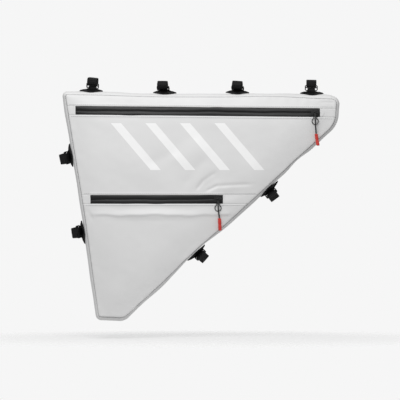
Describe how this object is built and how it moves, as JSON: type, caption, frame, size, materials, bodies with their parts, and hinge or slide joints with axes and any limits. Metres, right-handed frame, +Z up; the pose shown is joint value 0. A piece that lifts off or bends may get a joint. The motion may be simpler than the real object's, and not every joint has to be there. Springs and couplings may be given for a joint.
{
  "type": "bicycle frame bag",
  "caption": "Full-frame bicycle bag of light grey laminate with two black zips, corded red-grip pulls and buckled strap loops.",
  "frame": {"origin": "middle of the top side, on the gusset's outer face at mid-depth, where the top tube lies", "axes": "+X to the front wheel, -Y to the viewer's side of the bag, +Z up"},
  "size_m": [0.5232, 0.0665, 0.4545],
  "materials": {
    "laminate": "coated laminate, satin",
    "zip": "coated zip tape, satin",
    "hardware": "moulded, satin",
    "cord": "braided cord",
    "grip": "sleeve, matt",
    "tab": "coated cloth, matt",
    "webbing": "woven webbing"
  },
  "bodies": {
    "root": {"top_strip": "laminate", "main_zip_end_left": "laminate", "main_zip_end_right": "laminate", "front_panel": "laminate", "pocket_zip_end_left": "laminate", "pocket_zip_end_right": "laminate", "pocket_panel": "laminate", "back_panel": "laminate", "gusset": "laminate", "main_zip": "zip", "pocket_zip": "zip", "main_slider": "hardware", "main_pull_ring": "hardware", "main_pull_cord": "cord", "main_pull_grip": "grip", "pocket_slider": "hardware", "pocket_pull_ring": "hardware", "pocket_pull_cord": "cord", "pocket_pull_grip": "grip", "top_1_tab": "tab", "top_1_buckle": "hardware", "top_1_strap": "webbing", "top_2_tab": "tab", "top_2_buckle": "hardware", "top_2_strap": "webbing", "top_3_tab": "tab", "top_3_buckle": "hardware", "top_3_strap": "webbing", "top_4_tab": "tab", "top_4_buckle": "hardware", "top_4_strap": "webbing", "down_1_tab": "tab", "down_1_buckle": "hardware", "down_1_strap": "webbing", "down_2_tab": "tab", "down_2_buckle": "hardware", "down_2_strap": "webbing", "seat_1_tab": "tab", "seat_1_buckle": "hardware", "seat_1_strap": "webbing", "seat_2_tab": "tab", "seat_2_buckle": "hardware", "seat_2_strap": "webbing"}
  },
  "joints": []
}
